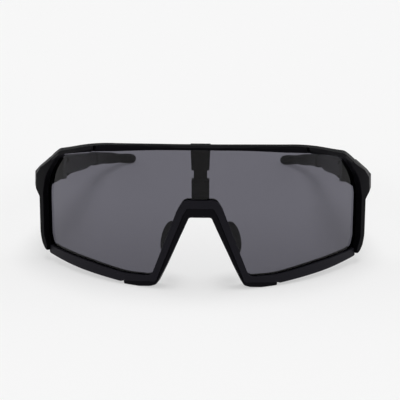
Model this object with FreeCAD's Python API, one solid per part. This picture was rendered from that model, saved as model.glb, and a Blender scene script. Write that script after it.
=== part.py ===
"""Wraparound sport sunglasses: one curved shield lens in a two-part frame, a nose
bridge with two soft pads, and two folding temples with rubber ear grips.

The glasses are drawn in a lens frame and laid down at the end. In the lens frame +X is
the wearer's left, +Y runs back towards the ears and +Z runs up along the lens cylinder.
The origin is on the lens's front surface at its middle, level with the lowest rim.
"""

import FreeCAD, Part
import math
import os

V = FreeCAD.Vector

# Lens: a cylinder with an upright axis
LENS_RADIUS = 85.0
LENS_THICK = 1.8
LENS_BITE = 1.25            # how far the lens edge sits inside the frame
LENS_GAP = 0.06             # free space around the lens edge in its groove
LENS_BACK_GAP = 0.45        # free space between the lens and the post behind it
HALF_WIDTH = 67.0           # half the width of the visible lens
OPENING_TOP = 60.5          # top of the visible lens
ARCH_TOP = 39.0             # top of the nose cut-out in the visible lens

# Upper frame
BROW_FRONT_RADIUS = LENS_RADIUS + 5.0   # front surface, flatter than the lens, so the sides stand proud
BROW_FRONT_APEX = -1.6
BROW_STEP = 0.7             # the middle of the brow lies this far behind its shoulders
BEVEL_HEIGHT = 1.2          # height of the bevel along the top of the brow, at its front
BEVEL_SLOPE = 0.75          # rise over run of that bevel
STEP_X_TOP, STEP_X_LOW = 44.0, 46.2
STEP_SLOT = 1.3             # width of the slanted slot at each step
STEP_SLOT_DEPTH = 0.7
FRAME_BACK_WALL = 1.0       # frame material behind the lens
BACK_LIP_RELIEF = 0.6       # the opening behind the lens is this much wider
SHOULDER_RUN = 12.0         # over this much depth behind the lens's edge
SHOULDER_FALL = 2.2         # the shoulders' top comes down by this much
BLOCK_WALL = 0.9            # least material between the lens and the hinge's end piece
TAB_BOTTOM = OPENING_TOP - 9.3
TAB_HALF_TOP, TAB_HALF_LOW = 4.1, 3.65
TAB_FRONT, TAB_THICK = 2.25, 3.1

# Lower rim
RIM_FRONT = 1.2             # rim material in front of the lens
RIM_BACK = 1.4
RIM_NOSE_WIDTH = 2.6        # rim width round the nose cut-out
RIM_ARCH_WIDTH = 3.3
PART_GAP = 0.12             # gap between neighbouring mouldings
SEAM_TOP = 9.0              # the slanted line between rim and arm starts at this height,
SEAM_INSET = 1.3            # this far inside the lens's edge, and leans outwards going down
SEAM_LEAN = 0.17

# Nose bridge
BRIDGE_WIDTH = 4.2          # what shows of it below the rim's arch
BRIDGE_FRONT = 0.3
PLATE_THICK = 1.7
POST_HALF = 3.65
POST_TOP = TAB_BOTTOM - 4.0
TONGUE_HALF, TONGUE_THICK = 2.75, 1.5
TONGUE_TOP = TAB_BOTTOM + 5.6
TONGUE_GAP = 0.1

# Nose pads
PAD_LENGTH, PAD_WIDTH, PAD_THICK = 15.0, 10.5, 2.4
PAD_ROUND = 1.1
PAD_CENTRE = (13.4, 12.2, 18.8)
PAD_SPLAY = 32.0            # degrees the pad opens out towards the back
PAD_SLOPE = 19.0            # degrees the pad follows the side of the nose
STEM_RADIUS = 1.3
STEM_FOOT_X = 13.2          # the stem starts on the bridge's side, this far from the middle

# Hinge, in its own frame: v outwards, u back along the temple, w up the axis
HINGE_INSET = 3.5           # the axis lies this far inside the visible lens's edge
HINGE_SETBACK = 12.7        # and this far behind it
HINGE_DROP = 19.9           # and this far below the lens's top
TEMPLE_DROP = 13.0          # degrees the temple slopes down from the lens's normal
KNUCKLE_RADIUS = 3.5
KNUCKLE_HALF = 2.4
BLOCK_LENGTH = 11.0         # the frame's end piece, forward of its stop face
WASHER_THICK = 0.25
FACE_GAP = 0.05             # running gap on each face of a washer
LUG_THICK = 2.0
SCREW_RADIUS = 1.0
SCREW_GAP = 0.05
BUSH_RADIUS = 1.6
HEAD_RADIUS, HEAD_HEIGHT = 1.9, 1.1
SLOT_WIDTH, SLOT_DEPTH = 0.45, 0.5
NUT_RADIUS = 1.9
SWING_GAP = 0.3             # space round the lugs and knuckle for the fold
INNER_RELIEF = 0.8          # more space where the folded temple's inner face lies
BUTT_U = -2.0               # the temple's front face meets the frame here
BUTT_GAP = 0.12

# Temple, as stations along it: u, inner v, outer v, bottom w, top w
GRIP_START = 78.5           # distance of the grip's front end from the hinge axis
TEMPLE_STATIONS = [(BUTT_U, -KNUCKLE_RADIUS, 10.4, -8.8, 4.6), (0.108 * GRIP_START, -4.3, 9.2, -6.8, 4.7),
                   (0.324 * GRIP_START, -5.8, 5.4, -3.8, 5.0), (0.568 * GRIP_START, -6.7, 1.2, -2.4, 5.0),
                   (0.811 * GRIP_START, -7.8, -2.2, -1.4, 5.0), (GRIP_START, -9.0, -4.4, -1.0, 4.8)]
CHAMFER_TOP = (8.2, 6.2)    # sideways and down, at the root's outer top edge
CHAMFER_LOW = (8.6, 4.8)    # sideways and up, at the root's inner bottom edge
# Ear grip, as stations along its middle line: u, v, w, thickness, height
GRIP_STATIONS = [(GRIP_START, -6.7, 1.9, 5.4, 6.5), (GRIP_START + 10.0, -8.0, 2.0, 5.3, 6.2),
                 (GRIP_START + 20.0, -10.6, 1.9, 5.1, 5.8), (GRIP_START + 28.5, -14.6, 1.7, 4.9, 5.3),
                 (GRIP_START + 35.0, -19.4, 1.45, 4.7, 4.8), (GRIP_START + 38.6, -24.2, 1.25, 3.6, 3.9)]
CORE_THICK, CORE_HEIGHT = 1.5, 2.8

FLAT_DEPTH = 0.45           # depth of the flats on the lowest points, which the glasses stand on


def lens_y(x, radius=LENS_RADIUS):
    """Depth of a cylinder about the lens axis, at a distance x from the middle."""
    return LENS_RADIUS - math.sqrt(radius ** 2 - x ** 2)


# ---------------------------------------------------------------- outlines

def mirrored(half):
    """A closed outline from its right half, listed from the top middle to the bottom."""
    return half + [(-x, z, r) for x, z, r in reversed(half) if x > 1e-9]


def opening_half():
    """Right half of the edge of the visible lens: x, z and corner radius."""
    side, top = HALF_WIDTH, OPENING_TOP
    return [(20.0, top - 0.5, 300.0), (side - 21.0, top - 4.1, 90.0), (side - 7.5, top - 8.2, 9.0),
            (side - 1.3, top - 19.0, 25.0), (side, top - 27.5, 12.0), (side, 14.0, 8.0),
            (side - 1.0, 9.2, 2.8), (side - 19.0, 7.4, 160.0), (32.0, 5.1, 40.0),
            (20.4, 5.2, 3.6), (9.5, ARCH_TOP - 4.2, 6.0), (6.9, ARCH_TOP, 3.5)]


def offset(outline, distance):
    """The outline moved outwards by a distance, its corner radii changed to match."""
    moved = []
    count = len(outline)
    for i, (x, z, r) in enumerate(outline):
        x0, z0, _ = outline[i - 1]
        x1, z1, _ = outline[(i + 1) % count]
        a = V(x - x0, 0, z - z0).normalize()
        b = V(x1 - x, 0, z1 - z).normalize()
        na, nb = V(-a.z, 0, a.x), V(-b.z, 0, b.x)
        miter = (na + nb) * (distance / (1 + na.dot(nb)))
        convex = a.x * b.z - a.z * b.x < 0
        moved.append((x + miter.x, z + miter.z, max(r + (distance if convex else -distance), 0.3)))
    return moved


def rounded(outline):
    """Straight and round stretches of a closed outline: lists of points (x, z)."""
    count = len(outline)
    cuts = []
    for i, (x, z, r) in enumerate(outline):
        p = V(x, 0, z)
        before = V(outline[i - 1][0], 0, outline[i - 1][1])
        after = V(outline[(i + 1) % count][0], 0, outline[(i + 1) % count][1])
        a, b = (before - p), (after - p)
        la, lb = a.Length, b.Length
        a.normalize()
        b.normalize()
        half = math.acos(max(-1.0, min(1.0, a.dot(b)))) / 2
        reach = min(r / math.tan(half), 0.49 * la, 0.49 * lb) if r > 0 else 0.0
        cuts.append((p, a, b, half, reach))
    stretches = []
    for i, (p, a, b, half, reach) in enumerate(cuts):
        if reach > 1e-6:
            radius = reach * math.tan(half)
            centre = p + (a + b).normalize() * (radius / math.sin(half))
            start, end = p + a * reach - centre, p + b * reach - centre
            turn = math.pi - 2 * half
            steps = max(4, min(10, int(math.degrees(turn) / 9)))
            axis = start.cross(end).normalize()
            arc = [centre + FreeCAD.Rotation(axis, math.degrees(turn) * k / steps).multVec(start)
                   for k in range(steps + 1)]
            stretches.append([(q.x, q.z) for q in arc])
        here = p + b * reach
        there = cuts[(i + 1) % count][0] + cuts[(i + 1) % count][1] * cuts[(i + 1) % count][4]
        if (there - here).Length > 1e-4:
            stretches.append([((here + (there - here) * (k / 4)).x, (here + (there - here) * (k / 4)).z)
                              for k in range(5)])
    return stretches


def stretch_edge(points):
    """One edge through points, straight where they are in line."""
    first, last = points[0], points[-1]
    line = Part.LineSegment(first, last).toShape()
    if all(line.distToShape(Part.Vertex(p))[0] < 1e-5 for p in points[1:-1]):
        return line
    curve = Part.BSplineCurve()
    curve.interpolate(Points=points, Parameters=[float(k) for k in range(len(points))])
    return curve.toShape()


def ruled_solid(*sides):
    """Solid through flat wires whose stretches match one to one."""
    wires = [Part.Wire([stretch_edge(points) for points in side]) for side in sides]
    return Part.makeLoft(wires, True, True)


def radial_prism(outline, y_near=-12.0, y_far=LENS_RADIUS - 6.0):
    """Outline on the lens surface, carried along the lens's own normals."""
    stretches = rounded(outline)

    def at(y):
        return [[V((LENS_RADIUS - y) * x / math.sqrt(LENS_RADIUS ** 2 - x ** 2), y, z)
                 for x, z in s] for s in stretches]
    return ruled_solid(at(y_near), at(y_far))


def straight_prism(outline, y_near=-12.0, y_far=60.0):
    """Outline carried straight back."""
    stretches = rounded(outline)
    return ruled_solid([[V(x, y_near, z) for x, z in s] for s in stretches],
                       [[V(x, y_far, z) for x, z in s] for s in stretches])


def post(radius, centre_y=LENS_RADIUS, low=-20.0, high=80.0):
    """Upright round solid on the middle plane."""
    return Part.makeCylinder(radius, high - low, V(0, centre_y, low), V(0, 0, 1))


def shell(inner, outer):
    """Space between two cylinders about the lens axis."""
    return post(outer).cut(post(inner))


def box(x0, x1, y0, y1, z0, z1):
    return Part.makeBox(x1 - x0, y1 - y0, z1 - z0, V(x0, y0, z0))


def flipped(shape):
    """The same piece on the wearer's right."""
    return shape.mirror(V(0, 0, 0), V(1, 0, 0))


OPENING = mirrored([(0.0, OPENING_TOP, 0.0)] + opening_half() + [(0.0, ARCH_TOP, 0.0)])
LENS_OUTLINE = offset(OPENING, LENS_BITE)
GROOVE = radial_prism(offset(OPENING, LENS_BITE + LENS_GAP)).common(
    shell(LENS_RADIUS - LENS_THICK - LENS_GAP, LENS_RADIUS + LENS_GAP))


# ---------------------------------------------------------------- hinge frame

HINGE_AT = V(HALF_WIDTH - HINGE_INSET, lens_y(HALF_WIDTH) + HINGE_SETBACK, OPENING_TOP - HINGE_DROP)
HINGE_PLACE = FreeCAD.Placement(HINGE_AT,
                                FreeCAD.Rotation(V(1, 0, 0), -TEMPLE_DROP))


def at_hinge(shape):
    """Puts a shape drawn about the hinge (x out, y back, z up the axis) in the lens frame."""
    moved = shape.copy()
    moved.Placement = HINGE_PLACE.multiply(moved.Placement)
    return moved


def hinge_rod(radius, low, high):
    return Part.makeCylinder(radius, high - low, V(0, 0, low), V(0, 0, 1))


LUG_LOW = KNUCKLE_HALF + WASHER_THICK + 2 * FACE_GAP
LUG_HIGH = LUG_LOW + LUG_THICK


# ---------------------------------------------------------------- front pieces

def make_lens():
    return radial_prism(LENS_OUTLINE).common(shell(LENS_RADIUS - LENS_THICK, LENS_RADIUS))


def frame_outline(y):
    """Right half of the upper frame's outside at a depth y, leaning out towards the back."""
    lean = (y - lens_y(HALF_WIDTH)) / SHOULDER_RUN
    side, top = HALF_WIDTH, OPENING_TOP
    fall = SHOULDER_FALL * max(lean, 0.0)
    return [(0.0, top + 1.7, 0.0), (22.0, top + 1.2, 400.0), (side - 22.0, top - 1.1, 60.0),
            (side - 5.8, top - 7.3, 5.0), (side - 1.5 + 0.6 * lean, top - 11.6 - fall, 6.0),
            (side + 3.5 + 1.6 * lean, top - 16.7 - fall, 1.5),
            (side + 5.1 + 2.2 * lean, top - 20.1 - fall / 3, 1.5),
            (side + 5.4 + 2.2 * lean, top - 27.1, 1.5), (side + 4.1 + 1.0 * lean, top - 29.9, 1.5),
            (side + 4.1 + 0.8 * lean, 14.0, 20.0), (side + 3.3 + 0.8 * lean, 9.8, 6.0),
            (side + 1.7 + 0.8 * lean, 6.9, 2.4)]


def bevelled_space():
    """Everything below the sloping bevel along the brow's top front edge."""
    side = HALF_WIDTH
    top = [(0.0, 1.7), (12.0, 1.5), (22.0, 1.1), (side / 2, 0.1), (side - 22.0, -1.2), (side - 14.0, -4.2),
           (side - 5.8, -7.5), (side - 2.0, -11.0)]
    front_axis = BROW_FRONT_RADIUS + BROW_FRONT_APEX
    line = []
    for x, z in top:
        front_y = front_axis - math.sqrt(BROW_FRONT_RADIUS ** 2 - x ** 2)
        line.append((x, OPENING_TOP + z - BEVEL_HEIGHT - BEVEL_SLOPE * front_y, 0.0))
    outline = mirrored(line + [(side + 1.0, 60.0, 0.0), (side + 24, 60.0, 0.0), (side + 24, -80.0, 0.0),
                               (0.0, -80.0, 0.0)])
    stretches = rounded(outline)
    near, far = -6.0, 60.0
    return ruled_solid([[V(x, near, z + BEVEL_SLOPE * near) for x, z in s] for s in stretches],
                       [[V(x, far, z + BEVEL_SLOPE * far) for x, z in s] for s in stretches])


def frame_outside():
    """Space inside the upper frame's outline; it widens and falls behind the lens's side edge."""
    sides = []
    for y in (-6.0, lens_y(HALF_WIDTH), lens_y(HALF_WIDTH) + 20.0):
        outline = mirrored(frame_outline(y) + [(40.0, 6.9, 0.0), (0.0, 6.9, 0.0)])
        sides.append([[V(x, y, z) for x, z in s] for s in rounded(outline)])
    return ruled_solid(*sides)


def seam_x(z):
    """The upper frame's arms and the rim's ends meet along this line."""
    return HALF_WIDTH - SEAM_INSET + SEAM_LEAN * (SEAM_TOP - z)


def make_upper_frame():
    outside = frame_outside()
    front_axis = BROW_FRONT_RADIUS + BROW_FRONT_APEX
    front = post(BROW_FRONT_RADIUS, front_axis)
    back_radius = LENS_RADIUS - LENS_THICK - FRAME_BACK_WALL
    body = outside.common(front).cut(post(back_radius)).common(bevelled_space())

    # the rim meets the arm's end along a slanted line
    arm_end = opening_half()[:6] + [(seam_x(SEAM_TOP), SEAM_TOP, 0.0), (seam_x(2.0), 2.0, 0.0)]
    body = body.cut(radial_prism(mirrored([(0.0, OPENING_TOP, 0.0)] + arm_end + [(0.0, 2.0, 0.0)])))
    behind_opening = post(LENS_RADIUS - LENS_THICK / 2)
    body = body.cut(radial_prism(offset(OPENING, BACK_LIP_RELIEF)).common(behind_opening))

    # the middle of the brow is set back, with a slanted slot at each shoulder
    high, low = OPENING_TOP + 2.0, OPENING_TOP - 6.0
    recess = [(0.0, high, 0.0), (STEP_X_TOP, high, 0.0), (STEP_X_LOW, low, 0.0), (0.0, low, 0.0)]
    body = body.cut(straight_prism(mirrored(recess)).cut(post(BROW_FRONT_RADIUS - BROW_STEP, front_axis)))
    slot = [(STEP_X_TOP - STEP_SLOT, high, 0.0), (STEP_X_TOP, high, 0.0), (STEP_X_LOW, low, 0.0),
            (STEP_X_LOW - STEP_SLOT, low, 0.0)]
    slot = straight_prism(slot).cut(post(BROW_FRONT_RADIUS - BROW_STEP - STEP_SLOT_DEPTH, front_axis))
    body = body.cut(slot).cut(flipped(slot))

    # the tab behind the lens, with a pocket for the bridge's tongue
    tab_top = OPENING_TOP + 1.3
    tab = mirrored([(0.0, tab_top, 0.0), (TAB_HALF_TOP, tab_top, 0.0), (TAB_HALF_LOW, TAB_BOTTOM, 0.6),
                    (0.0, TAB_BOTTOM, 0.0)])
    tab = straight_prism(tab, TAB_FRONT, TAB_FRONT + TAB_THICK)
    body = body.fuse(tab).cut(GROOVE)
    middle = TAB_FRONT + TAB_THICK / 2
    half_y = TONGUE_THICK / 2 + TONGUE_GAP
    pocket = box(-TONGUE_HALF - TONGUE_GAP, TONGUE_HALF + TONGUE_GAP, middle - half_y, middle + half_y,
                 TAB_BOTTOM - 2, TONGUE_TOP + TONGUE_GAP)
    body = body.cut(pocket)

    # the hinge side: end piece, stop face, lugs and the room that the temple turns in
    block = at_hinge(box(-KNUCKLE_RADIUS, 14, -BLOCK_LENGTH, 0, -LUG_HIGH, LUG_HIGH))
    behind_lens = outside.common(post(LENS_RADIUS - LENS_THICK - BLOCK_WALL))
    block = block.common(behind_lens)
    turn = KNUCKLE_RADIUS + SWING_GAP
    behind = box(-30, 30, BUTT_U - BUTT_GAP, 60, -60, 30).fuse(box(-30, 0, -turn - INNER_RELIEF, 1, -60, 30))
    behind = at_hinge(behind.fuse(hinge_rod(turn, -60, 30)))
    lug = hinge_rod(KNUCKLE_RADIUS, LUG_LOW, LUG_HIGH).fuse(
        box(-KNUCKLE_RADIUS, KNUCKLE_RADIUS, BUTT_U - BLOCK_LENGTH / 2, 0, LUG_LOW, LUG_HIGH))
    lugs = [at_hinge(lug), at_hinge(lug.mirror(V(0, 0, 0), V(0, 0, 1)))]
    bores = [at_hinge(hinge_rod(SCREW_RADIUS + SCREW_GAP, LUG_LOW - 1, LUG_HIGH + 1)),
             at_hinge(hinge_rod(HEAD_RADIUS + SCREW_GAP, LUG_HIGH - HEAD_HEIGHT, LUG_HIGH + 2)),
             at_hinge(hinge_rod(NUT_RADIUS, -LUG_HIGH - 1, -LUG_LOW + 1))]
    for side in (lambda s: s, flipped):
        body = body.fuse(side(block)).cut(side(behind))
        for lug in lugs:
            body = body.fuse(side(lug))
        for bore in bores:
            body = body.cut(side(bore))
    return body


def rim_half():
    """Right half of the lower rim's outside: up its inner side, out to the arm, and back to the arch."""
    nose = [p for p in offset(OPENING, RIM_NOSE_WIDTH) if 1.0 < p[0] < 24.0 and p[1] < 45.0]
    corner, slope, top = nose
    arch_low = ARCH_TOP - RIM_ARCH_WIDTH
    end = HALF_WIDTH - PART_GAP
    return [(0.0, ARCH_TOP + 5.4, 0.0), (20.0, ARCH_TOP + 5.4, 0.0), (end - 8.5, 20.0, 0.0),
            (seam_x(SEAM_TOP) - PART_GAP, SEAM_TOP, 0.0), (seam_x(5.8) - PART_GAP, 5.8, 0.8), (end - 13.0, 3.7, 150.0),
            (33.2, 1.4, 40.0), (32.0, 1.9, 0.3),
            (corner[0] + 2.0, 3.0, 3.0), (corner[0], corner[1] + 0.3, 3.0), (slope[0], slope[1] - 1.0, 2.0),
            (top[0], arch_low, 1.5), (0.0, arch_low, 0.0)]


def make_lower_rim():
    body = radial_prism(mirrored(rim_half())).cut(radial_prism(OPENING))
    body = body.common(shell(LENS_RADIUS - LENS_THICK - RIM_BACK, LENS_RADIUS + RIM_FRONT))
    return body.cut(GROOVE)


# ---------------------------------------------------------------- nose bridge and pads

def make_nose_bridge():
    arch = ARCH_TOP - RIM_ARCH_WIDTH - BRIDGE_WIDTH
    inner = [(4.6, arch, 1.2), (7.1, arch - 5.8, 30.0), (14.3, 9.6, 40.0), (18.4, 1.4, 2.2), (21.0, 0.5, 6.0),
             (26.0, 0.0, 10.0), (32.3, 0.2, 0.5)]
    ring = [(0.0, ARCH_TOP - 1.2, 0.0), (6.4, ARCH_TOP - 1.2, 2.0), (8.9, ARCH_TOP - 4.6, 3.0),
            (20.6, 4.6, 4.0), (32.6, 4.4, 2.0)]
    back = LENS_RADIUS - LENS_THICK - RIM_BACK - PLATE_THICK
    outline = mirrored(ring + inner[::-1] + [(0.0, arch, 0.0)])
    body = radial_prism(outline).common(shell(back, LENS_RADIUS + BRIDGE_FRONT))
    upright = box(-POST_HALF, POST_HALF, TAB_FRONT, TAB_FRONT + TAB_THICK, ARCH_TOP - RIM_ARCH_WIDTH, POST_TOP)
    middle = TAB_FRONT + TAB_THICK / 2
    tongue = box(-TONGUE_HALF, TONGUE_HALF, middle - TONGUE_THICK / 2, middle + TONGUE_THICK / 2,
                 POST_TOP - 2, TONGUE_TOP)
    body = body.fuse(upright).fuse(tongue)
    # room for the rim and the lens
    room = radial_prism(offset(mirrored(rim_half()), PART_GAP)).common(
        shell(LENS_RADIUS - LENS_THICK - RIM_BACK - LENS_GAP, LENS_RADIUS + 12))
    above = radial_prism(offset(OPENING, LENS_BITE)).common(
        shell(LENS_RADIUS - LENS_THICK - LENS_BACK_GAP, LENS_RADIUS + 12))
    body = body.cut(room).cut(above)
    stem = pad_stem()
    return body.fuse(stem).fuse(flipped(stem)).removeSplitter()


def pad_place():
    """Pad frame: x across its thickness (away from the nose), y across its width, z along it."""
    splay, slope = math.radians(PAD_SPLAY), math.radians(PAD_SLOPE)
    width = V(math.sin(splay), math.cos(splay), 0)
    length = V(-math.sin(slope), 0, math.cos(slope))
    length = (length - width * length.dot(width)).normalize()
    outward = width.cross(length)
    return FreeCAD.Placement(V(*PAD_CENTRE), FreeCAD.Rotation(outward, width, length, "XYZ"))


def pad_stem():
    """Stem from the bridge's plate to the middle of the pad."""
    centre = pad_place().multVec(V(PAD_THICK * 0.1, 0, 0))
    plate_middle = LENS_RADIUS - LENS_THICK - RIM_BACK - PLATE_THICK / 2
    foot = V(STEM_FOOT_X, lens_y(STEM_FOOT_X, plate_middle), PAD_CENTRE[2] + 1.0)
    along = centre - foot
    return Part.makeCylinder(STEM_RADIUS, along.Length, foot, along)


def make_nose_pad():
    half_l, half_w = PAD_LENGTH / 2, PAD_WIDTH / 2
    oval = Part.Ellipse(V(0, 0, 0), half_l, half_w).toShape()
    flat = Part.Face(Part.Wire(oval)).extrude(V(0, 0, PAD_THICK))
    rims = [e for e in flat.Edges if e.Length > PAD_LENGTH]
    pad = flat.makeFillet(PAD_ROUND, rims)
    # length along z, width along y, thickness along x
    pad.rotate(V(0, 0, 0), V(0, 1, 0), -90)
    pad.translate(V(PAD_THICK / 2, 0, 0))
    pad.Placement = pad_place().multiply(pad.Placement)
    return pad.cut(pad_stem())


# ---------------------------------------------------------------- temples and grips

def smooth_loft(sections):
    """Solid through closed sections that have the same number of corners."""
    wires = [Part.makePolygon(points + points[:1]) for points in sections]
    return Part.makeLoft(wires, True, False)


def temple_section(u, v_in, v_out, low, high):
    """Eight corners round the temple; the root's big chamfers fade out towards the back."""
    root = max(0.0, 1.0 - (u - BUTT_U) / (TEMPLE_STATIONS[3][0] - BUTT_U))
    small = 1.0
    top_v, top_w = [small + root * (c - small) for c in CHAMFER_TOP]
    low_v, low_w = [small + root * (c - small) for c in CHAMFER_LOW]
    return [V(v_in, u, high - small), V(v_in + small, u, high), V(v_out - top_v, u, high),
            V(v_out, u, high - top_w), V(v_out, u, low + small + root * 2.0), V(v_out - small - root, u, low),
            V(v_in + low_v, u, low), V(v_in, u, low + low_w)]


def grip_section(station, size=None):
    """Rounded section across the grip's middle line."""
    u, v, w, thick, height = station
    index = GRIP_STATIONS.index(station)
    before = GRIP_STATIONS[max(index - 1, 0)]
    after = GRIP_STATIONS[min(index + 1, len(GRIP_STATIONS) - 1)]
    along = V(after[1] - before[1], after[0] - before[0], 0).normalize()
    if index == 0:
        along = V(0, 1, 0)
    across = along.cross(V(0, 0, 1))
    if size:
        thick, height = size
    a, b = thick / 2, height / 2
    corner = 0.45 if size is None else 0.15
    c = min(a, b) * corner
    ring = [(-a, b - c), (-a + c, b), (a - c, b), (a, b - c),
            (a, -b + c), (a - c, -b), (-a + c, -b), (-a, -b + c)]
    return [V(v, u, w) + across * x + V(0, 0, z) for x, z in ring]


def make_core():
    """Tongue of the temple inside its grip."""
    stations = GRIP_STATIONS[:-1]
    sections = [grip_section(s, (CORE_THICK, CORE_HEIGHT)) for s in stations]
    start = [p - V(0, 4.0, 0) for p in sections[0]]
    return smooth_loft([start] + sections)


def make_temple():
    body = smooth_loft([temple_section(*s) for s in TEMPLE_STATIONS])
    turn = KNUCKLE_RADIUS + SWING_GAP
    knuckle = hinge_rod(KNUCKLE_RADIUS, -KNUCKLE_HALF, KNUCKLE_HALF)
    # round the inner front corner, so that it turns past the frame
    corner = box(-20, 0, BUTT_U - 1, 0, -20, 20).cut(hinge_rod(KNUCKLE_RADIUS, -20, 20))
    body = body.cut(corner)
    room = hinge_rod(turn, 0, 20).fuse(box(-20, turn, BUTT_U - 1, 0, 0, 20)).fuse(
        box(-20, 0, BUTT_U - 1, turn, 0, 20))
    upper, lower = room.copy(), room.mirror(V(0, 0, 0), V(0, 0, 1))
    upper.translate(V(0, 0, KNUCKLE_HALF))
    lower.translate(V(0, 0, -KNUCKLE_HALF))
    body = body.fuse(knuckle).cut(upper).cut(lower)
    body = body.fuse(make_core())
    body = body.cut(hinge_rod(BUSH_RADIUS, -KNUCKLE_HALF, KNUCKLE_HALF))
    return at_hinge(body.removeSplitter())


def make_ear_grip():
    sections = [grip_section(s) for s in GRIP_STATIONS]
    last, before = GRIP_STATIONS[-1], GRIP_STATIONS[-2]
    along = V(last[1] - before[1], last[0] - before[0], 0).normalize()
    middle = V(last[1], last[0], last[2])
    tip = [middle + (p - middle) * 0.45 + along * 1.3 for p in sections[-1]]
    return at_hinge(smooth_loft(sections + [tip]).cut(make_core()))


# ---------------------------------------------------------------- hinge hardware

def make_screw():
    head_low = LUG_HIGH - HEAD_HEIGHT
    screw = hinge_rod(SCREW_RADIUS, -LUG_HIGH, head_low).fuse(hinge_rod(HEAD_RADIUS, head_low, LUG_HIGH))
    slot = box(-3, 3, -SLOT_WIDTH / 2, SLOT_WIDTH / 2, LUG_HIGH - SLOT_DEPTH, LUG_HIGH + 1)
    return at_hinge(screw.cut(slot))


def make_bush():
    tube = hinge_rod(BUSH_RADIUS, -KNUCKLE_HALF, KNUCKLE_HALF)
    return at_hinge(tube.cut(hinge_rod(SCREW_RADIUS + SCREW_GAP, -10, 10)))


def make_nut():
    return at_hinge(hinge_rod(NUT_RADIUS, -LUG_HIGH, -LUG_LOW).cut(hinge_rod(SCREW_RADIUS, -10, 10)))


def make_washer(low):
    ring = hinge_rod(KNUCKLE_RADIUS - 0.3, low, low + WASHER_THICK)
    return at_hinge(ring.cut(hinge_rod(SCREW_RADIUS + SCREW_GAP, -10, 10)))


# ---------------------------------------------------------------- laying down

def leaned(shape, tilt):
    moved = shape.copy()
    moved.rotate(V(0, 0, 0), V(1, 0, 0), -tilt)
    return moved


def lowest(shape):
    return min(p.z for p in shape.tessellate(0.05)[0])


def resting_tilt(bridge, grip):
    """Tilt at which the bridge and the grips reach equally low."""
    low, high = 0.0, 15.0
    while high - low > 1e-5:
        tilt = (low + high) / 2
        if lowest(leaned(grip, tilt)) > lowest(leaned(bridge, tilt)):
            low = tilt
        else:
            high = tilt
    return tilt


def make_all():
    pieces = {"lens": make_lens(), "upper_frame": make_upper_frame(), "lower_rim": make_lower_rim(),
              "nose_bridge": make_nose_bridge()}
    sided = {"nose_pad": make_nose_pad(), "temple": make_temple(), "ear_grip": make_ear_grip(),
             "hinge_screw": make_screw(), "hinge_bush": make_bush(), "hinge_nut": make_nut(),
             "hinge_washer_upper": make_washer(KNUCKLE_HALF + FACE_GAP),
             "hinge_washer_lower": make_washer(-KNUCKLE_HALF - FACE_GAP - WASHER_THICK)}
    for name, shape in sided.items():
        pieces[name + "_left"] = shape
        pieces[name + "_right"] = flipped(shape)
    tilt = resting_tilt(pieces["nose_bridge"], pieces["ear_grip_left"])
    pieces = {name: leaned(shape, tilt) for name, shape in pieces.items()}
    ys = [p.y for shape in pieces.values() for p in shape.tessellate(0.1)[0]]
    shift = V(0, -(min(ys) + max(ys)) / 2, -lowest(pieces["nose_bridge"]) - FLAT_DEPTH)
    for shape in pieces.values():
        shape.translate(shift)
    below = box(-200, 200, -200, 200, -20, 0)
    for name in ("nose_bridge", "ear_grip_left", "ear_grip_right"):
        pieces[name] = pieces[name].cut(below)
    place = FreeCAD.Placement(shift, FreeCAD.Rotation(V(1, 0, 0), -tilt))
    print("tilt", round(tilt, 3), "shift", [round(c, 3) for c in shift])
    print("hinge", [round(c, 4) for c in place.multVec(HINGE_AT)],
          "axis", [round(c, 6) for c in place.Rotation.multiply(HINGE_PLACE.Rotation).multVec(V(0, 0, 1))])
    return pieces


os.makedirs("parts", exist_ok=True)
for name, shape in make_all().items():
    solid = shape.Solids[0] if len(shape.Solids) == 1 else shape
    print(name, "valid" if shape.isValid() else "INVALID", len(shape.Solids), round(shape.Volume, 1))
    solid.exportStep("parts/%s.step" % name)
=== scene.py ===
import bpy
import bmesh
import math
from mathutils import Vector, Matrix


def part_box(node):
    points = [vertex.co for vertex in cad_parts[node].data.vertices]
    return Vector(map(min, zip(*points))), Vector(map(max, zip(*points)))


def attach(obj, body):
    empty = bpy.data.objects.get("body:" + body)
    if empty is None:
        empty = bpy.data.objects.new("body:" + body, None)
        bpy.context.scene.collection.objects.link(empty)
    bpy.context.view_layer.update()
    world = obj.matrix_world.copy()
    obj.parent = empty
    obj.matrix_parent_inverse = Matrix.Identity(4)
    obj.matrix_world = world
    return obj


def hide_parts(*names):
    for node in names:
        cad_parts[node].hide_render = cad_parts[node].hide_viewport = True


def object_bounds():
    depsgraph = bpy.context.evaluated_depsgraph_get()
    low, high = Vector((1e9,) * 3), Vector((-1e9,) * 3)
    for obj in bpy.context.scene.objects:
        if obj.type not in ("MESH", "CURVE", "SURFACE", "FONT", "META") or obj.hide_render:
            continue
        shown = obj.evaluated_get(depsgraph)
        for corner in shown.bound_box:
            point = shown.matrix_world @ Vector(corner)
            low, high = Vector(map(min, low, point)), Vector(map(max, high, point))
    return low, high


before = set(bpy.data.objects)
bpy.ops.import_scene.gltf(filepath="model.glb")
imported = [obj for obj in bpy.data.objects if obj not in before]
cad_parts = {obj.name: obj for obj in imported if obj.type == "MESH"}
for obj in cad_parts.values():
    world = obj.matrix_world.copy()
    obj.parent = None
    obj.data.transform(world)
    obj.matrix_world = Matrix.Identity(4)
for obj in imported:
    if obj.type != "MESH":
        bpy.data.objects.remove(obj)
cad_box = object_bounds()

MM = 0.001

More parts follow.
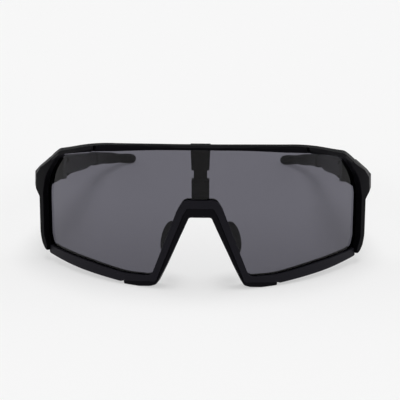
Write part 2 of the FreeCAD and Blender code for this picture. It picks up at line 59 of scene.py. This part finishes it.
# Camera: in front of the lens, a little to the wearer's left, looking down on it
AZIMUTH, ELEVATION = math.radians(1.5), math.radians(21.0)
FOCAL_LENGTH = 132.7        # in millimetres, on the sensor below
SENSOR_WIDTH = 36
DISTANCE = 0.619
AIM_RISE = 0.0357           # from the foot to the aim point, up the picture
FOOT = Vector((0, cad_box[0][1] - 0.9 * MM, 2.24 * MM))   # at the foot of the lens's front

# Light
WORLD_STRENGTH = 0.30
SIDE_STRENGTH = 2.0         # the world towards +X and -X, which lights the arms' outer faces
SIDE_START, SIDE_FULL = 0.55, 0.95    # the sides begin and are full at these shares of X
SUN_STRENGTH = 1.57
SUN_ANGLE = math.radians(34)          # wide, for soft shadows
SUN_TURN = (math.radians(-8), math.radians(3), 0)

# Floor
FLOOR_HALF = 6.0
FLOOR_TONE = 0.42
FLOOR_GLOW = 0.49           # its own light, which keeps it pale and its shadows faint


# ---------------------------------------------------------------- node helpers

def set_range(node, from_low, from_high, low, high):
    """Sets the four limits of a Map Range node."""
    for key, number in (("From Min", from_low), ("From Max", from_high),
                        ("To Min", low), ("To Max", high)):
        node.inputs[key].default_value = number


class Nodes:
    """Builds one material's node tree."""

    def __init__(self, name):
        self.material = bpy.data.materials.new(name)
        self.material.use_nodes = True
        self.tree = self.material.node_tree
        self.shader = self.tree.nodes["Principled BSDF"]
        coord = self.tree.nodes.new("ShaderNodeTexCoord")
        self.place = coord.outputs["Object"]
        self.round_normal = None

    def add(self, kind, **inputs):
        node = self.tree.nodes.new(kind)
        for key, value in inputs.items():
            self.feed(node.inputs[key.replace("_", " ")], value)
        return node

    def feed(self, socket, value):
        if isinstance(value, bpy.types.NodeSocket):
            self.tree.links.new(value, socket)
        else:
            socket.default_value = value

    def noise(self, scale, detail=2.0, rough=0.5, stretch=None):
        vector = self.place
        if stretch:
            mapping = self.add("ShaderNodeMapping", Vector=self.place)
            mapping.inputs["Scale"].default_value = stretch
            vector = mapping.outputs[0]
        node = self.add("ShaderNodeTexNoise", Vector=vector, Scale=scale, Detail=detail,
                        Roughness=rough)
        return node.outputs["Fac"]

    def cells(self, scale):
        node = self.add("ShaderNodeTexVoronoi", Vector=self.place, Scale=scale)
        return node.outputs["Distance"]

    def span(self, value, low, high, from_low=0.0, from_high=1.0):
        node = self.add("ShaderNodeMapRange", Value=value)
        set_range(node, from_low, from_high, low, high)
        return node.outputs[0]

    def mix(self, fac, a, b):
        node = self.tree.nodes.new("ShaderNodeMix")
        node.data_type = "RGBA"
        self.feed(node.inputs[0], fac)
        self.feed(node.inputs[6], a)
        self.feed(node.inputs[7], b)
        return node.outputs[2]

    def math(self, operation, a, b):
        node = self.tree.nodes.new("ShaderNodeMath")
        node.operation = operation
        self.feed(node.inputs[0], a)
        self.feed(node.inputs[1], b)
        return node.outputs[0]

    def edges(self, radius):
        """1 near sharp edges, 0 on flat faces. Keeps the rounded normal for the bump."""
        bevel = self.add("ShaderNodeBevel", Radius=radius)
        bevel.samples = 6
        self.round_normal = bevel.outputs[0]
        geometry = self.tree.nodes.new("ShaderNodeNewGeometry")
        dot = self.tree.nodes.new("ShaderNodeVectorMath")
        dot.operation = "DOT_PRODUCT"
        self.feed(dot.inputs[0], bevel.outputs[0])
        self.feed(dot.inputs[1], geometry.outputs["Normal"])
        return self.span(dot.outputs["Value"], 1.0, 0.0, EDGE_SHARP, EDGE_FLAT)

    def bump(self, height, distance, strength=1.0):
        node = self.add("ShaderNodeBump", Height=height, Distance=distance, Strength=strength)
        if self.round_normal is not None:
            self.feed(node.inputs["Normal"], self.round_normal)
        return node.outputs[0]


COOL = (0.88, 0.85, 1.0, 1)     # the faint violet of black plastic under cool light
EDGE_RADIUS = 0.3 * MM          # how wide the rounded edges of the mouldings are, which are painted lighter as a highlight
EDGE_SHARP, EDGE_FLAT = 0.80, 0.995   # how far rounded and true normals agree, at an edge and on a flat


def grey(value, blue=1.3):
    """A dark neutral, with a little less green and more blue."""
    return (value, value * 0.95, value * blue, 1)


def moulded_plastic(name, tone, rough=0.42, grain=2600, grain_depth=0.012, shine=0.07, edge_highlight=3.0):
    """Matt injection-moulded nylon: fine grain, slight flow marks, and a painted highlight that makes
    the edges lighter.
    """
    n = Nodes(name)
    cloud = n.noise(55, 3, 0.6)
    flow = n.noise(14, 4, 0.6, (1.0, 0.35, 3.0))
    colour = n.mix(cloud, grey(tone * 0.82), grey(tone * 1.2))
    edge = n.edges(EDGE_RADIUS)
    # Painted highlight: the colour turns lighter near the rounded edges.
    n.feed(n.shader.inputs["Base Color"], n.mix(edge, colour, grey(tone * edge_highlight)))
    fine = n.noise(grain, 3, 0.65)
    pits = n.cells(grain * 0.45)
    height = n.math("ADD", n.math("MULTIPLY", fine, 0.7), n.math("MULTIPLY", pits, 0.5))
    n.feed(n.shader.inputs["Normal"], n.bump(height, grain_depth * MM, 0.9))
    patches = n.math("ADD", n.math("MULTIPLY", flow, 0.6), n.math("MULTIPLY", fine, 0.4))
    base = n.span(patches, rough - 0.07, rough + 0.09, 0.25, 0.75)
    n.feed(n.shader.inputs["Roughness"], n.math("SUBTRACT", base, n.math("MULTIPLY", edge, 0.08)))
    n.shader.inputs["Specular IOR Level"].default_value = shine
    n.shader.inputs["Specular Tint"].default_value = COOL
    return n.material


def soft_rubber(name, tone, rough=0.62, shine=0.12):
    """Matt moulded rubber with a dusty surface."""
    n = Nodes(name)
    cloud = n.noise(70, 4, 0.6)
    dust = n.noise(900, 3, 0.7)
    colour = n.mix(cloud, grey(tone * 0.85, 1.06), grey(tone * 1.15, 1.06))
    dusty = n.span(dust, 0.0, 0.35, 0.55, 0.8)
    n.feed(n.shader.inputs["Base Color"], n.mix(dusty, colour, grey(tone * 2.2, 1.04)))
    fine = n.noise(3800, 2, 0.6)
    n.feed(n.shader.inputs["Normal"], n.bump(fine, 0.012 * MM, 0.8))
    n.feed(n.shader.inputs["Roughness"], n.span(cloud, rough - 0.06, rough + 0.08, 0.3, 0.7))
    n.shader.inputs["Specular IOR Level"].default_value = shine
    n.shader.inputs["Sheen Weight"].default_value = 0.08
    n.shader.inputs["Sheen Roughness"].default_value = 0.5
    return n.material


def machined_metal(name, colour, rough=0.28):
    """Turned metal with fine tool marks and slight tarnish."""
    n = Nodes(name)
    tarnish = n.noise(700, 4, 0.6)
    dark = tuple(c * 0.7 for c in colour[:3]) + (1,)
    n.feed(n.shader.inputs["Base Color"], n.mix(n.span(tarnish, 0, 1, 0.35, 0.75), colour, dark))
    n.shader.inputs["Metallic"].default_value = 1.0
    marks = n.noise(2500, 2, 0.6, (1.0, 1.0, 6.0))
    n.feed(n.shader.inputs["Roughness"], n.span(marks, rough - 0.08, rough + 0.12, 0.3, 0.7))
    n.feed(n.shader.inputs["Normal"], n.bump(marks, 0.004 * MM, 0.6))
    return n.material


def natural_nylon(name):
    """Undyed nylon, slightly cloudy, which lets a little light in."""
    n = Nodes(name)
    cloud = n.noise(400, 3, 0.6)
    colour = n.mix(cloud, (0.42, 0.41, 0.37, 1), (0.55, 0.54, 0.5, 1))
    n.feed(n.shader.inputs["Base Color"], colour)
    n.feed(n.shader.inputs["Roughness"], n.span(cloud, 0.4, 0.55))
    n.feed(n.shader.inputs["Normal"], n.bump(n.noise(3000), 0.006 * MM, 0.6))
    n.shader.inputs["Subsurface Weight"].default_value = 0.2
    n.shader.inputs["Subsurface Scale"].default_value = 0.5 * MM
    return n.material


# Painted light: the lens's colour is darker at the bottom and lighter towards the top.
TINT_BOTTOM_SHADED, TINT_TOP_LIT = (0.118, 0.115, 0.137, 1), (0.142, 0.139, 0.165, 1)
PAINTED_LIGHT_RISE = 0.55                # the painted light is full at this share of the lens's height
SHADOW_TINT = (0.45, 0.445, 0.47, 1)
LENS_IOR = 1.25                 # lower than the real plastic's, which keeps reflections faint


def smoke_lens(name):
    """Polished smoke polycarbonate. Lamps shine through it, dimmed by its tint."""
    n = Nodes(name)
    height = n.add("ShaderNodeSeparateXYZ", Vector=n.place).outputs[2]
    low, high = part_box("lens")[0][2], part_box("lens")[1][2]
    # Painted light: the colour is lighter towards the top, and the noise adds random variation to the
    # tint.
    painted_gradient = n.span(height, 0.0, 1.0, low, low + PAINTED_LIGHT_RISE * (high - low))
    tint = n.math("ADD", painted_gradient, n.span(n.noise(9, 2, 0.5), -0.1, 0.1, 0.3, 0.7))
    glass = n.shader
    n.feed(glass.inputs["Base Color"], n.mix(tint, TINT_BOTTOM_SHADED, TINT_TOP_LIT))
    n.feed(glass.inputs["Roughness"], n.span(n.noise(120, 4, 0.6), 0.015, 0.045, 0.3, 0.7))
    glass.inputs["Transmission Weight"].default_value = 1.0
    glass.inputs["IOR"].default_value = LENS_IOR
    n.feed(glass.inputs["Normal"], n.bump(n.noise(30, 2, 0.5), 0.01 * MM, 0.3))
    through = n.tree.nodes.new("ShaderNodeBsdfTransparent")
    through.inputs[0].default_value = SHADOW_TINT
    lamp = n.tree.nodes.new("ShaderNodeLightPath")
    mix = n.tree.nodes.new("ShaderNodeMixShader")
    out = n.tree.nodes["Material Output"]
    n.tree.links.new(lamp.outputs["Is Shadow Ray"], mix.inputs[0])
    n.tree.links.new(glass.outputs[0], mix.inputs[1])
    n.tree.links.new(through.outputs[0], mix.inputs[2])
    n.tree.links.new(mix.outputs[0], out.inputs["Surface"])
    return n.material


# ---------------------------------------------------------------- CAD nodes

def dress(node, material):
    """Gives a CAD node its material in every slot."""
    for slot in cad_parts[node].material_slots:
        slot.material = material


def dress_cad():
    """Gives every CAD node that stays visible its material."""
    frame_black = moulded_plastic("frame_nylon", 0.0022, shine=0.03)
    rim_black = moulded_plastic("rim_nylon", 0.0065, rough=0.46, shine=0.12)
    bridge_black = moulded_plastic("bridge_nylon", 0.0030, rough=0.42)
    temple_black = moulded_plastic("temple_nylon", 0.0040, rough=0.44)
    dress("upper_frame", frame_black)
    dress("lower_rim", rim_black)
    dress("nose_bridge", bridge_black)
    dress("lens", smoke_lens("smoke_polycarbonate"))
    steel = machined_metal("screw_steel", (0.46, 0.46, 0.47, 1))
    brass = machined_metal("turned_brass", (0.62, 0.47, 0.22, 1), 0.32)
    nylon = natural_nylon("washer_nylon")
    for side in ("left", "right"):
        dress("temple_" + side, temple_black)
        dress("hinge_screw_" + side, steel)
        dress("hinge_bush_" + side, brass)
        dress("hinge_nut_" + side, brass)
        dress("hinge_washer_upper_" + side, nylon)
        dress("hinge_washer_lower_" + side, nylon)


# ---------------------------------------------------------------- soft pieces

WELD = 0.0005 * MM              # corners nearer than this are one
PAD_VOXEL, GRIP_VOXEL = 0.28 * MM, 0.3 * MM


def soft_skin(node, name, voxel, rounds, material):
    """A softly rounded copy of a CAD soft solid, in the same place."""
    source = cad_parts[node]
    welded = bmesh.new()
    welded.from_mesh(source.data)
    bmesh.ops.remove_doubles(welded, verts=welded.verts, dist=WELD)
    mesh = bpy.data.meshes.new(name)
    welded.to_mesh(mesh)
    welded.free()
    mesh.transform(source.matrix_world)
    draft = bpy.data.objects.new(name + "_draft", mesh)
    bpy.context.scene.collection.objects.link(draft)
    remesh = draft.modifiers.new("remesh", "REMESH")
    remesh.mode = "VOXEL"
    remesh.voxel_size = voxel
    remesh.use_smooth_shade = True
    smooth = draft.modifiers.new("smooth", "SMOOTH")
    smooth.factor = 0.5
    smooth.iterations = rounds
    seen = draft.evaluated_get(bpy.context.evaluated_depsgraph_get())
    finished = bpy.data.meshes.new_from_object(seen)
    bpy.data.objects.remove(draft)
    piece = bpy.data.objects.new(name, finished)
    bpy.context.scene.collection.objects.link(piece)
    for face in finished.polygons:
        face.use_smooth = True
    finished.materials.clear()
    finished.materials.append(material)
    return piece


def add_nose_pads():
    silicone = soft_rubber("pad_silicone", 0.0045, 0.5, 0.16)
    for side in ("left", "right"):
        node = "nose_pad_" + side
        piece = soft_skin(node, "pad_skin_" + side, PAD_VOXEL, 5, silicone)
        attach(piece, "front")
        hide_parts(node)


def add_ear_grips():
    rubber = soft_rubber("grip_rubber", 0.0045)
    for side in ("left", "right"):
        node = "ear_grip_" + side
        piece = soft_skin(node, "grip_skin_" + side, GRIP_VOXEL, 4, rubber)
        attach(piece, "temple_arm_" + side)
        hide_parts(node)


# ---------------------------------------------------------------- stage

def add_camera():
    level = math.cos(ELEVATION)
    back = Vector((math.sin(AZIMUTH) * level, -math.cos(AZIMUTH) * level, math.sin(ELEVATION)))
    right = Vector((math.cos(AZIMUTH), math.sin(AZIMUTH), 0))
    up = back.cross(right)
    data = bpy.data.cameras.new("camera")
    data.lens = FOCAL_LENGTH
    data.sensor_width = SENSOR_WIDTH
    data.clip_start = 0.01
    camera = bpy.data.objects.new("camera", data)
    place = Matrix((right, up, back)).transposed().to_4x4()
    place.translation = FOOT + up * AIM_RISE + back * DISTANCE
    camera.matrix_world = place
    bpy.context.scene.collection.objects.link(camera)
    bpy.context.scene.camera = camera


def add_floor():
    """A large sheet of pale paper."""
    corners = [(x * FLOOR_HALF, y * FLOOR_HALF, 0) for x, y in ((-1, -1), (1, -1), (1, 1), (-1, 1))]
    mesh = bpy.data.meshes.new("floor")
    mesh.from_pydata(corners, [], [(0, 1, 2, 3)])
    floor = bpy.data.objects.new("floor", mesh)
    bpy.context.scene.collection.objects.link(floor)
    material = bpy.data.materials.new("floor_paper")
    material.use_nodes = True
    shader = material.node_tree.nodes["Principled BSDF"]
    shader.inputs["Base Color"].default_value = (FLOOR_TONE, FLOOR_TONE, FLOOR_TONE, 1)
    shader.inputs["Roughness"].default_value = 0.9
    shader.inputs["Specular IOR Level"].default_value = 0.0
    shader.inputs["Emission Color"].default_value = (1, 1, 1, 1)
    shader.inputs["Emission Strength"].default_value = FLOOR_GLOW
    mesh.materials.append(material)


def add_light():
    """An even world that brightens towards both sides, and one wide sun from above."""
    world = bpy.data.worlds.new("studio")
    world.use_nodes = True
    tree = world.node_tree
    background = tree.nodes["Background"]
    background.inputs[0].default_value = (1, 1, 1, 1)
    coord = tree.nodes.new("ShaderNodeTexCoord")
    parts = tree.nodes.new("ShaderNodeSeparateXYZ")
    tree.links.new(coord.outputs["Generated"], parts.inputs[0])
    sideways = tree.nodes.new("ShaderNodeMath")
    sideways.operation = "ABSOLUTE"
    tree.links.new(parts.outputs[0], sideways.inputs[0])
    walls = tree.nodes.new("ShaderNodeMapRange")
    walls.interpolation_type = "SMOOTHSTEP"
    set_range(walls, SIDE_START, SIDE_FULL, WORLD_STRENGTH, SIDE_STRENGTH)
    tree.links.new(sideways.outputs[0], walls.inputs["Value"])
    tree.links.new(walls.outputs[0], background.inputs[1])
    bpy.context.scene.world = world
    sun = bpy.data.lights.new("softbox", "SUN")
    sun.energy = SUN_STRENGTH
    sun.angle = SUN_ANGLE
    lamp = bpy.data.objects.new("softbox", sun)
    lamp.rotation_euler = SUN_TURN
    bpy.context.scene.collection.objects.link(lamp)


def main():
    bpy.context.scene.view_settings.view_transform = "Standard"
    add_camera()
    add_floor()
    add_light()
    dress_cad()
    add_nose_pads()
    add_ear_grips()


main()
